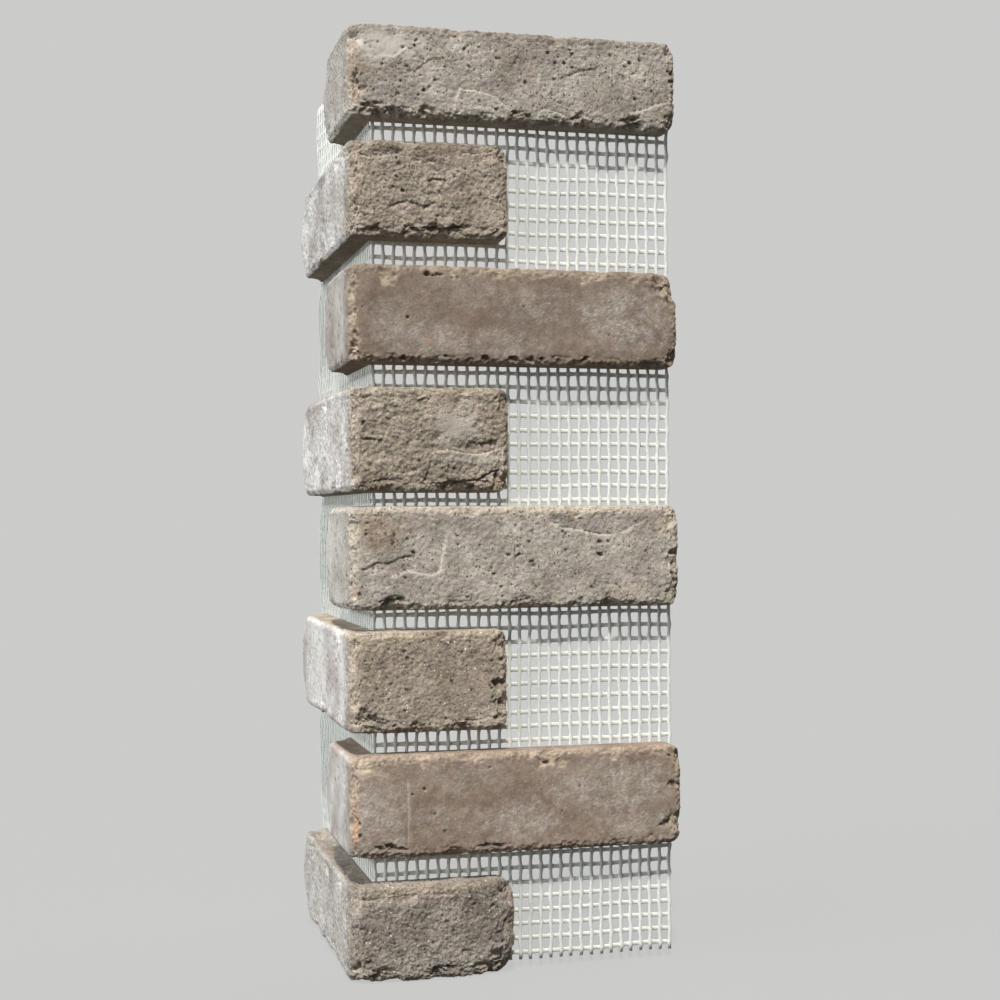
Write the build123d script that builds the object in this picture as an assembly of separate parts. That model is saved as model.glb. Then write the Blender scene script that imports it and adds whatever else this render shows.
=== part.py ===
from build123d import *
import os
from collections import namedtuple

# A corner sheet of thin brick: tumbled L-shaped bricks, bonded to an open net
# that is folded at a right angle round the corner of a wall.
# Frame: the folded net's back meets the wall on the planes x = 0 and y = 0, the
# front leg runs along +X and faces -Y, the side leg runs along +Y and faces -X,
# and the bottom brick stands on z = 0. Sizes are in millimetres.

# Bricks: one to each course, counted from the bottom
course_pitch = 67.7
brick_thickness = 15.0
long_leg = 192.0
short_leg = 92.0
face_arris = 3.2

# What tumbling leaves of each brick: the height of its face, how far its lower bed
# lies above the course line, what its legs are longer or shorter than the nominal
# ones, and the rounding of its outer corner and of its leg ends
Course = namedtuple("Course", "height rise long_extra short_extra corner_round end_round")
courses = [
    Course(53.5, 0.0, 0.0, 2.0, 9.0, 10.0),
    Course(57.0, 0.0, 0.5, -1.5, 6.0, 7.5),
    Course(57.0, 0.5, -0.5, -2.0, 5.0, 6.0),
    Course(58.0, 0.5, 0.0, -0.5, 5.0, 7.0),
    Course(59.0, -2.0, 1.0, 0.0, 5.0, 6.5),
    Course(55.0, 1.5, -0.5, 0.5, 4.5, 6.0),
    Course(54.5, 3.0, 0.0, 0.0, 5.0, 6.5),
    Course(52.0, 1.5, -1.0, -1.0, 5.5, 7.0),
]

# Net: flat upright strands next to the bricks, flat cross strands next to the wall.
# The pitches are nominal, and whole strands share out each leg's width and height.
upright_width = 1.9
upright_thickness = 0.5
cross_width = 2.2
cross_thickness = 0.5
upright_pitch = 6.0
cross_pitch = 8.0
panels_per_leg = 5

# How far the net's edges pass the ends of the long legs, or stay short of them,
# and how far they stay inside the outermost beds
front_net_reach = -1.1
side_net_reach = 5.0
bottom_net_margin = 4.5
top_net_margin = 2.9

# The bricks' backs lie on the net, and their outer faces one thickness further out
net_thickness = upright_thickness + cross_thickness
back_plane = -net_thickness
outer_plane = back_plane - brick_thickness
long_end = outer_plane + long_leg
sheet_top = (len(courses) - 1) * course_pitch + courses[-1].rise + courses[-1].height
panel_height = (sheet_top - bottom_net_margin - top_net_margin) / panels_per_leg


def corner_brick(course, long_front):
    """One L-shaped brick with its lower bed on z = 0 and its tumbled arrises rounded."""
    longer = outer_plane + long_leg + course.long_extra
    shorter = outer_plane + short_leg + course.short_extra
    front_end, side_end = (longer, shorter) if long_front else (shorter, longer)
    plan = Polyline(
        (outer_plane, outer_plane),
        (front_end, outer_plane),
        (front_end, back_plane),
        (back_plane, back_plane),
        (back_plane, side_end),
        (outer_plane, side_end),
        close=True,
    )
    brick = extrude(make_face(plan), course.height, dir=(0, 0, 1))

    outer_corner = brick.edges().filter_by(Axis.Z).sort_by_distance((outer_plane, outer_plane, course.height / 2))[0]
    brick = fillet(outer_corner, course.corner_round)
    front_end_edges = brick.edges().filter_by(Axis.Y).filter_by_position(Axis.X, front_end, front_end)
    brick = fillet(front_end_edges, course.end_round)
    side_end_edges = brick.edges().filter_by(Axis.X).filter_by_position(Axis.Y, side_end, side_end)
    brick = fillet(side_end_edges, course.end_round)
    return fillet(outer_skin_outline(brick), face_arris)


def outer_skin_outline(brick):
    """The edges all round the brick's visible skin: its two outer faces and the corner between them."""
    front_face = brick.faces().filter_by(Axis.Y).sort_by(Axis.Y)[0]
    side_face = brick.faces().filter_by(Axis.X).sort_by(Axis.X)[0]
    round_faces = brick.faces().filter_by(GeomType.CYLINDER)
    skin = [front_face, side_face] + [face for face in round_faces if is_outer_corner(face)]
    edges = [edge for face in skin for edge in face.edges()]
    return ShapeList(edge for edge in edges if sum(edge.is_same(other) for other in edges) == 1)


def is_outer_corner(face):
    """True for the rounding between the front face and the side face."""
    middle = face.center()
    return middle.X < back_plane and middle.Y < back_plane


def net_panel(leg_end):
    """A flat piece of the front leg's net, from the fold to leg_end, with its strands fused where they cross."""
    width = leg_end - back_plane
    upright_gaps = round((width - upright_width) / upright_pitch)
    upright_spacing = (width - upright_width) / upright_gaps
    crosses = round(panel_height / cross_pitch)
    cross_spacing = panel_height / crosses

    corner = (Align.MIN, Align.MAX, Align.MIN)
    upright = Box(upright_width, upright_thickness, panel_height, align=corner)
    cross = Box(width, cross_thickness, cross_width, align=corner)
    strands = []
    for column in range(upright_gaps + 1):
        strands.append(Pos(back_plane + column * upright_spacing, -cross_thickness, 0) * upright)
    for row in range(crosses):
        cross_bottom = (row + 0.5) * cross_spacing - cross_width / 2
        strands.append(Pos(back_plane, 0, cross_bottom) * cross)
    panel = strands[0].fuse(*strands[1:])
    return panel - fold_mitre()


def fold_mitre():
    """The wedge beyond the fold, so that the two legs meet on the plane x = y."""
    wedge = Polyline((back_plane, back_plane), (0, 0), (back_plane, 0), close=True)
    return extrude(make_face(wedge), panel_height, dir=(0, 0, 1))


def write(name, solid):
    """Write one node under its own name."""
    solid.label = name
    export_step(solid, os.path.join("parts", name + ".step"), write_pcurves=False)


os.makedirs("parts", exist_ok=True)

# The long legs lie on the side in the bottom course, and then on each leg in turn
for number, course in enumerate(courses, start=1):
    bed = (number - 1) * course_pitch + course.rise
    write(f"corner_brick_{number}", Pos(0, 0, bed) * corner_brick(course, long_front=number % 2 == 0))

# The side leg's net is a front leg's net turned over on the fold
fold_plane = Plane(origin=(0, 0, 0), z_dir=(1, -1, 0))
front_panel = net_panel(long_end + front_net_reach)
side_panel = mirror(net_panel(long_end + side_net_reach), about=fold_plane)
for number in range(1, panels_per_leg + 1):
    panel_bottom = bottom_net_margin + (number - 1) * panel_height
    write(f"net_front_{number}", Pos(0, 0, panel_bottom) * front_panel)
    write(f"net_side_{number}", Pos(0, 0, panel_bottom) * side_panel)
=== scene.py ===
"""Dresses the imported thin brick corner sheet: tumbled bricks, a woven net and a stage."""

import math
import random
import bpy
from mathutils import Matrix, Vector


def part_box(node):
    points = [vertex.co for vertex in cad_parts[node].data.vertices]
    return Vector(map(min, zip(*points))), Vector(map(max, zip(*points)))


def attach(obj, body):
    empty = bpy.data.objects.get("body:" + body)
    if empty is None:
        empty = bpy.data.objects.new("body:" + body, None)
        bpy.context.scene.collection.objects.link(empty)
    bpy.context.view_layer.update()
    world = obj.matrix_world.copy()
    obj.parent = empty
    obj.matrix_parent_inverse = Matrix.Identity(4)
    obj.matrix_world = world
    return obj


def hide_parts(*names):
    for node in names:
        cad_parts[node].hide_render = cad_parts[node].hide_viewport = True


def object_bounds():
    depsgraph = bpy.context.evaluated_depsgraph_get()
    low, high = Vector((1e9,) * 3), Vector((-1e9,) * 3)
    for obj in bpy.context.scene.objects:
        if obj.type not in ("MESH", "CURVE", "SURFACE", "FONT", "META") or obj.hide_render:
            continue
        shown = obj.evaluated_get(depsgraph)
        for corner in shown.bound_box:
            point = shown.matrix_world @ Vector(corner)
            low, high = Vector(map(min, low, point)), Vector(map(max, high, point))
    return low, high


bl_info = {
    "name": "Thin brick corner sheet",
    "version": (1, 0, 0),
    "blender": (4, 5, 0),
    "location": "3D View > Sidebar > Corner Sheet",
    "description": "Tumbled corner bricks on a folded net, modelled around the packed CAD sheet",
    "category": "Object",
}

from collections import namedtuple

import bmesh
import bpy
import numpy as np
from bpy.props import FloatProperty, FloatVectorProperty, IntProperty, PointerProperty
from bpy.types import Operator, Panel, PropertyGroup
from mathutils import Matrix, Vector, kdtree, noise

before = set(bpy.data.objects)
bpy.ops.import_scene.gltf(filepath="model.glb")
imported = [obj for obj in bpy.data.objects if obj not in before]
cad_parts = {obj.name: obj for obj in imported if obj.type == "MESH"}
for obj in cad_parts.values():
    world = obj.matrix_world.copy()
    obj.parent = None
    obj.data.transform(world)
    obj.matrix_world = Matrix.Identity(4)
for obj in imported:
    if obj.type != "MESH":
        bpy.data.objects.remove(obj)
CAD_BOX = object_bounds()
MM = 0.001
PANELS = 5
BRICK_SEED = 4100
SHARP_ANGLE = math.radians(65)

# Widths of noise in millimetres: what crumbles the walls of pits, frays the outlines of finishes, warps whole
# faces, and chips and bites the arrises. Each brick reads it at a place of its own, up to the spread away.
CRUMBLE, FRAY, WARP, CHIPPING, BITES = 2.4, 5.0, 60.0, 7.0, 17.0
NOISE_SPREAD = 900

# Lamps: name, direction from the sheet, softness in degrees and colour
LAMPS = (
    ("key", (-0.15, -0.51, 0.85), 5.0, (1.0, 0.985, 0.97)),
    ("fill", (-0.93, -0.22, 0.3), 60.0, (0.9, 0.95, 1.0)),
    ("back", (0.62, 0.68, 0.39), 70.0, (1.0, 1.0, 1.0)),
)

# Places on a brick are in millimetres: along its skin from the outer corner, forward on the front leg and
# negative on the side leg, and up from its lower bed.
# A fold is a line where one layer of clay lies on another. A positive lip leaves the side below the line
# proud, a negative one the side above it. The gap is the depth of the groove along the line, which is also
# painted dark as shade; pale is the strength of a painted highlight along the proud ridge.
Fold = namedtuple("Fold", "line lip gap reach pale")
# A hole is a single open pit or notch, deep at its middle, painted dark inside as shade.
Hole = namedtuple("Hole", "along up radius depth")
# A chip is a bit of arris knocked off in the tumbler, a shallow dish of bare sandy clay.
Chip = namedtuple("Chip", "along up radius depth")
# A patch is a soft-edged oval of another finish: bloom, stain, tan, red, smear or smooth. Tan bands along the
# upper arris are worn clay and also a painted highlight.
Patch = namedtuple("Patch", "finish along up half_along half_up strength")
# How each brick came out of the kiln and the tumbler. Grain, clay and lumps are depths of relief, ragged is
# how deep its lower arris is broken, and sparkle the share of pale grains in its skin. Wrap is how far the
# front's skin reaches round the corner, pale how pale the side leg is beyond it, the upper darkening how much
# darker its upper arris is painted, shade how light the clay fired, and share the brick's part of the
# triangles.
Brick = namedtuple(
    "Brick",
    "dark light shade share grain clay lumps pits ragged sparkle wrap pale grime folds holes chips patches",
)


def each(kind, *rows):
    """One Hole, Chip or Patch from each row."""
    return tuple(kind(*row) for row in rows)


BRICKS = {
    1: Brick(
        "granular_dark", "granular_light", shade=1.0, share=1.15, grain=0.62, clay=0.45, lumps=1.9,
        pits=360, ragged=2.2, sparkle=0.9, wrap=9, pale=0.65, grime=0.26,
        folds=(
            Fold(((78, 20.5), (84, 17.5), (89, 18.5)), lip=0.9, gap=0.8, reach=4, pale=0.3),
            Fold(((4, 10), (10, 22), (11, 32)), lip=0.7, gap=0.2, reach=6, pale=0.1),
        ),
        holes=each(
            Hole, (50, 4, 5.0, 3.0), (57, 5, 3.2, 2.4), (38, 22, 2.0, 1.2), (66, 15, 2.4, 1.3),
            (11, 12, 2.4, 1.6), (84, 24, 2.0, 1.2), (-30, 20, 1.6, 1.2), (-52, 30, 1.5, 1.2),
        ),
        chips=each(
            Chip, (14, 55, 14, 2.2), (34, 55, 15, 2.4), (52, 54, 9, 1.4), (94, 50, 12, 3.0),
            (93, -1, 21, 5.0), (20, 1, 10, 1.8), (74, 2, 10, 2.2), (0, 50, 12, 2.8), (1, 4, 12, 2.8),
            (92, 27, 7, 1.2), (-40, 53, 10, 1.6), (-95, 52, 12, 1.6), (-150, 53, 14, 2.0),
            (-70, 1, 12, 1.2), (-130, 2, 14, 1.3),
        ),
        patches=each(
            Patch, ("tan", 45, 51, 45, 5, 0.8), ("bloom", 60, 12, 22, 9, 0.25),
        ),
    ),
    2: Brick(
        "brown_dark", "brown_light", shade=1.0, share=0.8, grain=0.12, clay=0.28, lumps=0.5, pits=14,
        ragged=1.2, sparkle=0.3, wrap=5, pale=0.9, grime=0.0,
        folds=(
            Fold(((32.5, 4), (32.8, 22), (32.2, 46)), lip=0.25, gap=0.0, reach=8, pale=0.55),
            Fold(((4, 40), (12, 34), (20, 29), (30, 26)), lip=0.3, gap=0.1, reach=5, pale=0.15),
        ),
        holes=each(
            Hole, (2, 41.8, 1.8, 1.2), (4.8, 20.5, 1.9, 1.8), (4.8, 13.3, 2.2, 1.6), (42, 38, 1.3, 1.6),
            (92.5, 30.4, 1.0, 1.0), (53.5, 14, 1.4, 0.8), (18, 6.0, 2.8, 2.2), (24, 6.2, 3.2, 2.6),
            (29, 5.0, 2.4, 1.8), (77, 4, 3.0, 2.2), (84, 3.6, 3.0, 2.0), (188, 34, 3.0, 1.8),
            (183, 12, 3.0, 1.6), (1.5, 30, 2.0, 1.0), (1.5, 9, 2.4, 1.2), (112, 50, 2.0, 1.4),
        ),
        chips=each(
            Chip, (112, 53, 7, 1.6), (121, 51, 5, 1.0), (191, 50, 8, 2.0), (189, 13, 8, 1.8),
            (8, 55, 8, 1.6), (40, 57, 7, 1.0), (70, 57, 8, 1.2), (150, 57, 8, 1.2), (0, 20, 7, 1.2),
            (1, 42, 6, 1.0), (60, 0, 8, 1.2),
        ),
        patches=each(
            Patch, ("bloom", 17, 25, 18, 28, 0.7), ("bloom", 95, 18, 28, 13, 0.6),
            ("bloom", 150, 36, 42, 18, 0.65), ("bloom", 165, 14, 28, 13, 0.55),
            ("bloom", 62, 44, 24, 10, 0.5), ("bloom", 45, 20, 14, 12, 0.35),
            ("red", 1.5, 20, 3.4, 13, 1.0), ("tan", 116, 51, 10, 6, 0.9), ("tan", 8, 48, 12, 5, 0.7),
        ),
    ),
    3: Brick(
        "rough_dark", "rough_light", shade=1.04, share=1.1, grain=0.46, clay=0.36, lumps=0.9, pits=230,
        ragged=1.9, sparkle=1.0, wrap=8, pale=1.0, grime=0.0,
        folds=(
            Fold(((44, 54), (46.5, 46), (46.2, 38)), lip=0.3, gap=0.1, reach=4, pale=0.4),
            Fold(((60, 6), (70, 5), (82, 8)), lip=0.6, gap=0.4, reach=4, pale=0.1),
        ),
        holes=each(
            Hole, (31, 45.6, 1.5, 1.2), (33, 41.5, 1.7, 1.3), (23.4, 27.7, 1.5, 1.2),
            (80.6, 39, 1.4, 1.2), (33, 24, 1.6, 1.0), (69, 23.5, 1.6, 1.2), (54.6, 7.8, 1.3, 1.2),
            (88, 40, 2.4, 1.8), (85.5, 26, 4.4, 3.2), (87, 15.3, 2.6, 2.0), (86, 8, 3.0, 2.2),
            (8, 14, 3.5, 1.5), (13, 9, 4.0, 1.8), (18, 5, 3.6, 1.8), (52, 57, 6.0, 1.2),
        ),
        chips=each(
            Chip, (89, 50, 8, 2.0), (89, 14, 7, 1.6), (10, 5, 9, 2.0), (40, 0, 7, 1.4), (65, 0, 7, 1.6),
            (54, 57, 6, 1.6), (0, 50, 7, 1.4), (0, 20, 8, 1.4), (-40, 57, 12, 1.2), (-100, 0, 14, 1.8),
        ),
        patches=each(
            Patch, ("tan", 30, 54, 34, 4, 0.6), ("smooth", 66, 22, 18, 12, 0.6),
            ("bloom", 24, 20, 14, 6, 0.2),
        ),
    ),
    4: Brick(
        "taupe_dark", "taupe_light", shade=1.05, share=1.0, grain=0.34, clay=0.34, lumps=0.7, pits=260,
        ragged=1.7, sparkle=0.6, wrap=6, pale=0.46, grime=0.0,
        folds=(
            Fold(
                ((4.6, 24), (9.4, 23.1), (15.9, 27), (22.5, 26.2), (29, 29.7), (34, 30.1), (38, 32.4)),
                lip=-0.6, gap=0.4, reach=8, pale=0.0,
            ),
            Fold(
                ((20, 17.4), (27.4, 20.1), (34, 22), (47, 19.4), (51.2, 21.8), (53, 31.5), (55.5, 43.6)),
                lip=0.9, gap=0.0, reach=8, pale=0.7,
            ),
            Fold(
                ((112, 48.5), (120, 47.4), (122, 45), (129, 44.7), (136, 43.2), (142, 41.8), (149, 41),
                 (156, 42)),
                lip=1.5, gap=0.7, reach=8, pale=0.7,
            ),
            Fold(((156, 42), (164, 46), (172, 50)), lip=0.5, gap=0.2, reach=5, pale=0.6),
            Fold(((94.5, 40), (94.3, 28), (94.5, 14)), lip=0.25, gap=0.6, reach=4, pale=0.2),
            Fold(((110, 12), (108, 18), (107.5, 22)), lip=0.2, gap=0.1, reach=3, pale=0.6),
        ),
        holes=each(
            Hole, (61.7, 36.3, 1.2, 1.4), (36.4, 32.1, 1.6, 1.5), (82, 19.8, 1.2, 1.4),
            (72, 23.9, 0.9, 1.1), (67, 6.9, 1.0, 1.1), (86.3, 12.4, 1.1, 1.3), (92.2, 13.9, 1.1, 1.3),
            (96.5, 30.2, 1.9, 1.4), (33, 39.7, 1.2, 1.0), (11.2, 48.7, 1.2, 1.0), (144, 37.3, 1.8, 1.5),
            (149, 37.7, 1.4, 1.2), (144.4, 30, 2.0, 1.9), (123.7, 32.8, 1.2, 1.2),
            (102.5, 37.7, 1.3, 1.0), (105, 24.4, 1.7, 1.2), (129.7, 19.4, 1.0, 1.0),
            (141.4, 15, 1.1, 1.1), (154, 12.9, 1.1, 1.1), (132.7, 51, 1.7, 1.3), (189.5, 30.3, 2.4, 2.0),
            (190, 24.8, 2.2, 2.0), (188.5, 18.6, 2.2, 1.8), (23, 4, 4.2, 2.4), (29, 5, 3.4, 2.2),
            (5, 9, 2.4, 1.3),
        ),
        chips=each(
            Chip, (191, 27, 7, 1.4), (190, 7, 9, 2.2), (188, 52, 8, 1.8), (24, 2, 8, 1.8),
            (70, 58, 8, 1.0), (130, 58, 9, 1.2), (100, 0, 9, 1.4), (150, 0, 8, 1.4), (0, 12, 7, 1.4),
            (0, 45, 8, 1.2),
        ),
        patches=each(
            Patch, ("stain", 19, 44, 17, 13, 0.8), ("stain", 127.7, 51.5, 3, 3, 1.0),
            ("tan", 184, 46, 8, 9, 0.8), ("tan", 100, 56, 90, 3.4, 0.7), ("tan", 160, 8, 14, 7, 0.5),
            ("bloom", 75, 32, 18, 14, 0.35), ("bloom", 122, 36, 22, 10, 0.4),
            ("bloom", 28, 13, 18, 7, 0.35), ("red", 3, 12, 3, 5, 0.6),
        ),
    ),
    5: Brick(
        "rough_dark", "rough_light", shade=0.95, share=1.15, grain=0.68, clay=1.0, lumps=1.2, pits=200,
        ragged=2.5, sparkle=0.5, wrap=1, pale=1.0, grime=0.22,
        folds=(
            Fold(
                ((46, 22), (52, 23.4), (56.5, 23.6), (69, 21.2), (77.4, 21.7), (90, 25.5)),
                lip=1.9, gap=0.2, reach=8, pale=0.4,
            ),
            Fold(((67, 28.5), (76.6, 27.4), (88, 30.5)), lip=-1.2, gap=0.8, reach=6, pale=0.0),
            Fold(((47, 19), (44.6, 11), (42.5, 4)), lip=0.9, gap=0.7, reach=4, pale=0.0),
            Fold(
                ((44, 3.7), (64.8, 5.4), (74, 7), (80.7, 11.9), (90, 12.7)),
                lip=-1.4, gap=1.2, reach=4, pale=0.0,
            ),
            Fold(
                ((23.5, 11.8), (30.8, 10.2), (38.2, 11.8), (42.4, 15.1)),
                lip=0.8, gap=0.3, reach=4, pale=0.3,
            ),
            Fold(((6.5, 29.6), (13, 29.6), (20.3, 28.5)), lip=-0.6, gap=1.2, reach=4, pale=0.0),
            Fold(((14, 17), (22, 19), (29, 17.5)), lip=0.6, gap=0.4, reach=4, pale=0.2),
        ),
        holes=each(
            Hole, (36, 18, 1.8, 1.3), (40, 17.5, 1.5, 1.3), (42, 33, 2.2, 1.2), (43, 28, 1.8, 1.2),
            (26, 47, 2.4, 1.2), (41, 51, 3.6, 1.6), (85, 9, 3.0, 2.6), (78, 5, 2.6, 2.2),
            (60, 13, 1.6, 1.2), (10, 3, 3.6, 1.6), (87, 46, 2.4, 1.2), (-20, 4, 2.6, 1.6),
            (-33, 27, 1.6, 0.9),
        ),
        chips=each(
            Chip, (90, 4, 9, 2.6), (91, 52, 8, 2.0), (60, 0, 8, 1.8), (20, 0, 8, 1.6), (8, 58, 8, 1.6),
            (45, 58.5, 8, 1.4), (0, 8, 7, 1.4), (0, 40, 7, 1.0), (-60, 0, 10, 1.4), (-90, 55, 7, 1.6),
        ),
        patches=each(
            Patch, ("smooth", 60, 37, 15, 15, 1.0), ("smear", 61, 36, 16, 15, 0.4),
            ("smear", 70, 19, 20, 4.5, 0.4), ("tan", 50, 56, 40, 4, 0.7), ("red", 84, 5, 9, 4, 0.35),
        ),
    ),
    6: Brick(
        "brown_dark", "brown_light", shade=0.88, share=0.8, grain=0.1, clay=0.22, lumps=0.5, pits=10,
        ragged=1.3, sparkle=0.3, wrap=4, pale=0.6, grime=0.28,
        folds=(
            Fold(((42, 50), (48, 49.3), (54.5, 50.2)), lip=-0.8, gap=1.8, reach=3, pale=0.0),
            Fold(((19, 47), (23, 44), (27, 42.5)), lip=0.5, gap=0.3, reach=3, pale=0.5),
        ),
        holes=each(
            Hole, (45, 50, 1.8, 2.0), (50, 50, 1.8, 2.0), (1.2, 38.5, 2.0, 1.2), (0, 24, 1.6, 1.0),
            (4.2, 15.2, 2.0, 1.3), (1.6, 11.7, 2.4, 1.5), (5, 3, 3.0, 1.8), (31, 1.6, 2.8, 2.0),
            (55, 3.4, 1.4, 1.6), (77.7, 2.6, 3.0, 2.2), (94, 2.6, 3.2, 2.2), (104, 2.4, 3.0, 2.4),
            (110, 2.6, 2.6, 2.2), (136, 2.8, 2.6, 2.2), (188, 36.5, 2.6, 2.0), (100, 33, 0.9, 1.0),
            (150, 18, 1.0, 0.8), (66, 52, 3.0, 0.8), (22, 53, 3.0, 0.9),
        ),
        chips=each(
            Chip, (195, 56, 24, 5.5), (191, 3, 9, 2.2), (22, 51, 7, 1.2), (60, 55, 7, 1.0),
            (85, 55, 8, 1.2), (140, 55, 9, 1.4), (165, 55, 7, 1.0), (2, 13, 6, 1.6), (1, 5, 7, 1.8),
            (0, 38, 6, 1.2), (0, 26, 5, 1.0),
        ),
        patches=each(
            Patch, ("bloom", 160, 28, 30, 22, 0.75), ("bloom", 45, 14, 34, 11, 0.6),
            ("bloom", 88, 12, 28, 10, 0.55), ("bloom", 110, 34, 26, 14, 0.4),
            ("bloom", 26, 24, 16, 14, 0.45), ("bloom", 70, 40, 24, 9, 0.3),
            ("tan", 95, 53, 95, 4.2, 0.9), ("tan", 24, 47, 6, 6, 0.8), ("red", 45, 13, 3, 3, 0.35),
            ("tan", 3, 15, 4, 8, 0.5),
        ),
    ),
    7: Brick(
        "rough_dark", "rough_light", shade=0.95, share=1.12, grain=0.62, clay=0.85, lumps=1.3, pits=180,
        ragged=2.2, sparkle=0.5, wrap=6, pale=1.0, grime=0.42,
        folds=(
            Fold(((44.8, 31.4), (48.9, 33.4), (57.2, 32.8)), lip=-0.7, gap=0.9, reach=4, pale=0.0),
            Fold(((64, 49.4), (73.2, 49.2), (83, 51)), lip=0.9, gap=0.5, reach=5, pale=0.4),
            Fold(((5, 46), (14, 43.5), (26, 46), (37, 45)), lip=1.2, gap=0.3, reach=7, pale=0.2),
            Fold(((22, 17), (34, 21), (43, 18), (52, 21)), lip=-0.8, gap=0.3, reach=6, pale=0.0),
            Fold(((40, 13), (55, 12), (64, 8)), lip=0.5, gap=0.3, reach=5, pale=0.1),
        ),
        holes=each(
            Hole, (31.5, 25.9, 1.7, 1.7), (3.9, 36, 2.6, 1.6), (3, 15.1, 2.2, 1.8),
            (2.0, 18.5, 1.8, 1.6), (10.3, 12, 1.3, 1.2), (16.7, 2.4, 3.2, 2.0), (38, 3.4, 3.2, 2.4),
            (49.6, 3.6, 3.8, 2.8), (58, 4.4, 3.2, 2.4), (62, 6.4, 2.6, 2.2), (84.7, 3.6, 2.6, 1.8),
            (90, 45, 2.6, 1.6), (-22, 8, 1.8, 1.8), (-44, 26, 1.5, 1.2),
        ),
        chips=each(
            Chip, (91, 51, 9, 2.6), (50, 1, 9, 2.6), (62, 3, 7, 2.0), (36, 1, 7, 1.6), (16, 1, 7, 1.4),
            (92, 24, 7, 1.2), (6, 54, 9, 2.0), (32, 54.5, 8, 1.2), (0, 36, 8, 1.4), (1, 16, 7, 1.4),
            (-100, 1, 14, 2.0), (-40, 54, 10, 1.4),
        ),
        patches=each(
            Patch, ("smooth", 81, 12, 8, 7, 0.7), ("bloom", 24, 42, 12, 6, 0.3),
            ("bloom", 72, 38, 12, 5, 0.25), ("tan", 84, 47, 8, 6, 0.7), ("tan", 4, 40, 4, 12, 0.6),
            ("tan", 50, 53, 40, 3.4, 0.6),
        ),
    ),
    8: Brick(
        "taupe_dark", "taupe_light", shade=1.0, share=1.03, grain=0.36, clay=0.38, lumps=0.8, pits=380,
        ragged=1.9, sparkle=0.6, wrap=8, pale=0.38, grime=0.5,
        folds=(
            Fold(
                ((120, 26.4), (127.4, 29.2), (132.4, 31.9), (138.2, 33.4), (143.6, 34.2), (146, 36.5)),
                lip=-0.6, gap=0.4, reach=9, pale=0.0,
            ),
            Fold(
                ((59.5, 3), (62, 13.5), (63.7, 18), (75.2, 17), (84.3, 14.7), (96, 5)),
                lip=1.1, gap=0.2, reach=7, pale=0.7,
            ),
            Fold(
                ((107.5, 1), (110, 7.6), (113.3, 9), (120.7, 7.4), (125.6, 5.3), (127.2, 2)),
                lip=1.0, gap=0.2, reach=5, pale=0.7,
            ),
            Fold(
                ((163, 10.5), (169.9, 11.3), (174.2, 12.7), (179.3, 15.4), (185.2, 16.9), (191, 17)),
                lip=1.0, gap=0.3, reach=6, pale=0.5,
            ),
            Fold(((35, 41), (28, 34), (12, 33), (5, 36)), lip=-0.2, gap=0.0, reach=6, pale=0.0),
            Fold(((107.5, 51), (107.8, 44), (107.5, 38)), lip=0.2, gap=0.0, reach=3, pale=0.5),
            Fold(((36, 24), (46, 33), (56, 35)), lip=-0.5, gap=0.2, reach=6, pale=0.0),
        ),
        holes=each(
            Hole, (115, 41.2, 1.3, 1.5), (129, 41.2, 1.5, 1.5), (124.5, 35.8, 1.6, 1.6),
            (119.2, 35.4, 1.3, 1.3), (107.7, 37.5, 1.2, 1.0), (101.5, 23.7, 1.8, 1.3),
            (140.7, 48, 1.5, 1.4), (175.2, 49, 1.5, 1.4), (172, 44, 1.3, 1.0), (169.2, 39.7, 1.4, 1.2),
            (160.4, 36, 1.2, 1.2), (189, 33.4, 2.2, 1.5), (188.5, 28.9, 1.9, 1.3), (159, 30.3, 1.1, 1.0),
            (27, 46.3, 0.9, 1.0), (35.4, 38.5, 1.2, 1.0), (20, 28.8, 1.1, 1.1), (33.7, 28.5, 1.4, 1.1),
            (55.6, 29.4, 1.1, 1.1), (41.8, 24.2, 1.2, 1.1), (30.5, 20.4, 1.3, 1.2), (46.6, 18, 1.2, 1.1),
            (17.6, 7, 2.2, 1.6), (32.9, 12.6, 1.2, 1.1), (4.2, 18.5, 2.6, 1.8), (7, 15.5, 2.0, 1.4),
            (2, 23, 1.8, 1.2), (166, 5, 2.6, 2.0), (96, 6, 2.2, 1.8), (104, 3.4, 2.4, 1.6),
        ),
        chips=each(
            Chip, (3, 17, 8, 2.4), (0, 42, 9, 1.6), (14, 1, 7, 2.0), (28, 0, 7, 1.8), (45, 0, 8, 1.6),
            (190, 49, 8, 2.0), (98, 0, 9, 1.8), (135, 0, 9, 1.6), (165, 2, 7, 1.6), (60, 52, 8, 1.0),
            (120, 52, 9, 1.2), (190, 4, 8, 2.0),
        ),
        patches=each(
            Patch, ("smear", 22, 40, 20, 11, 0.85), ("stain", 4, 25, 10, 23, 0.8),
            ("bloom", 77, 10, 15, 6, 0.5), ("bloom", 117, 5, 8, 4, 0.5), ("bloom", 132, 21, 16, 9, 0.5),
            ("smooth", 136, 23, 14, 7, 0.5), ("tan", 182, 10, 10, 7, 0.5), ("red", 4, 13, 4.5, 7, 0.22),
            ("stain", 22, 24, 10, 5, 0.25), ("stain", 95, 33, 14, 14, 0.2), ("tan", 130, 50, 14, 3, 0.4),
        ),
    ),
}


def size_setting(name, description, millimetres):
    """A size that a user may change, with its default in millimetres."""
    return FloatProperty(name=name, description=description, default=millimetres * MM, unit="LENGTH")


def colour_setting(name, description, default):
    """A colour that a user may change."""
    return FloatVectorProperty(name=name, description=description, default=default, subtype="COLOR")


def angle_setting(name, description, default):
    """An angle that a user may change, with its default in radians."""
    return FloatProperty(name=name, description=description, default=default, subtype="ANGLE")


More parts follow.
